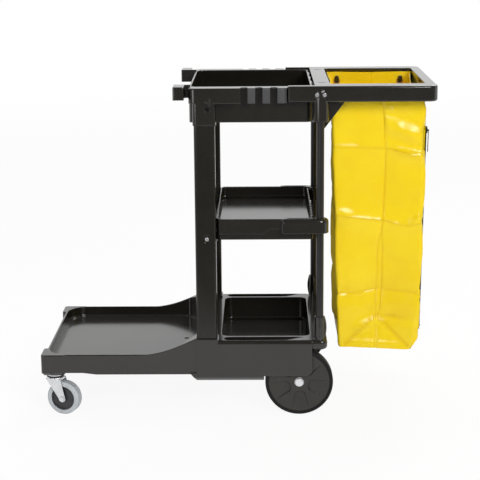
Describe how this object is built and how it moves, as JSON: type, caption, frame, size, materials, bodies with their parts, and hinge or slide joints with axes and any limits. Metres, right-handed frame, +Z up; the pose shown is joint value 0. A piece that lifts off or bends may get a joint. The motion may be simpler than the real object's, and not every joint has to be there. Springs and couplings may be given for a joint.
{
  "type": "janitorial cart",
  "caption": "Janitorial cart with a low front platform, shelf and top tray on posts, a hanging waste bag in a push-handle frame, fixed rear wheels and swivel front casters.",
  "frame": {"origin": "on the floor under the middle of the cart", "axes": "+X from the platform to the push handle, +Y to the far side of the picture, +Z up"},
  "size_m": [1.17, 0.552, 0.9895],
  "materials": {
    "black_plastic": "moulded, satin",
    "black_tube": "powder coat",
    "wheel_plastic": "moulded",
    "wheel_rubber": "matt rubber",
    "grey_tread": "grey rubber",
    "zinc": "zinc plated",
    "bright_steel": "bright",
    "caster_plastic": "moulded",
    "seal_plastic": "moulded",
    "bush_plastic": "natural nylon",
    "bag_vinyl": "coated, glossy",
    "eyelet_metal": "dark",
    "zip_tape": "woven",
    "zip_metal": "enamel"
  },
  "bodies": {
    "cart": {"base_platform": "black_plastic", "front_post_near": "black_plastic", "front_post_far": "black_plastic", "rear_post_near": "black_tube", "rear_post_far": "black_tube", "mid_shelf": "black_plastic", "top_tray": "black_plastic", "bag_frame": "black_plastic", "rear_axle": "zinc", "axle_caps": "bright_steel", "axle_washers": "zinc", "shelf_screws": "bright_steel", "tray_screws": "bright_steel", "frame_screws": "bright_steel", "caster_sockets": "seal_plastic", "caster_stem_near": "zinc", "caster_stem_far": "zinc", "bag_body": "bag_vinyl", "bag_eyelets": "eyelet_metal", "zipper_tape": "zip_tape", "zipper_stops": "zip_metal"},
    "caster_fork_near": {"caster_seal_near": "seal_plastic", "caster_fork_near": "zinc", "caster_axle_near": "zinc", "caster_nut_near": "zinc", "caster_sleeve_near": "zinc"},
    "caster_wheel_near": {"caster_core_near": "caster_plastic", "caster_tyre_near": "grey_tread"},
    "rear_wheel_near": {"rear_bush_near": "bush_plastic", "rear_core_near": "wheel_plastic", "rear_tyre_near": "wheel_rubber"},
    "caster_fork_far": {"caster_seal_far": "seal_plastic", "caster_fork_far": "zinc", "caster_axle_far": "zinc", "caster_nut_far": "zinc", "caster_sleeve_far": "zinc"},
    "caster_wheel_far": {"caster_core_far": "caster_plastic", "caster_tyre_far": "grey_tread"},
    "rear_wheel_far": {"rear_bush_far": "bush_plastic", "rear_core_far": "wheel_plastic", "rear_tyre_far": "wheel_rubber"},
    "zip_slider": {"zipper_slider": "zip_metal"},
    "zip_pull": {"zipper_pull": "zip_metal"}
  },
  "joints": [
    {"name": "caster_swivel_near", "type": "hinge", "parent": "cart", "child": "caster_fork_near", "pos_m": [-0.5475, -0.2385, 0.116], "axis": [0, 0, 1], "continuous": true},
    {"name": "caster_spin_near", "type": "hinge", "parent": "caster_fork_near", "child": "caster_wheel_near", "pos_m": [-0.52058, -0.24622, 0.0508], "axis": [0.2756, 0.9613, 0], "continuous": true},
    {"name": "rear_spin_near", "type": "hinge", "parent": "cart", "child": "rear_wheel_near", "pos_m": [0.188, -0.248, 0.1016], "axis": [0, 1, 0], "continuous": true},
    {"name": "caster_swivel_far", "type": "hinge", "parent": "cart", "child": "caster_fork_far", "pos_m": [-0.5475, 0.2385, 0.116], "axis": [0, 0, 1], "continuous": true},
    {"name": "caster_spin_far", "type": "hinge", "parent": "caster_fork_far", "child": "caster_wheel_far", "pos_m": [-0.52058, 0.23078, 0.0508], "axis": [0.2756, 0.9613, 0], "continuous": true},
    {"name": "rear_spin_far", "type": "hinge", "parent": "cart", "child": "rear_wheel_far", "pos_m": [0.188, 0.248, 0.1016], "axis": [0, 1, 0], "continuous": true},
    {"name": "zip_slide", "type": "slide", "parent": "cart", "child": "zip_slider", "axis": [0.0157, 0, 0.9999], "range_m": [-0.575, 0]},
    {"name": "zip_pull_swing", "type": "hinge", "parent": "zip_slider", "child": "zip_pull", "pos_m": [0.56822, -0.1805, 0.84777], "axis": [0, -1, 0], "range_deg": [0, 150]}
  ]
}
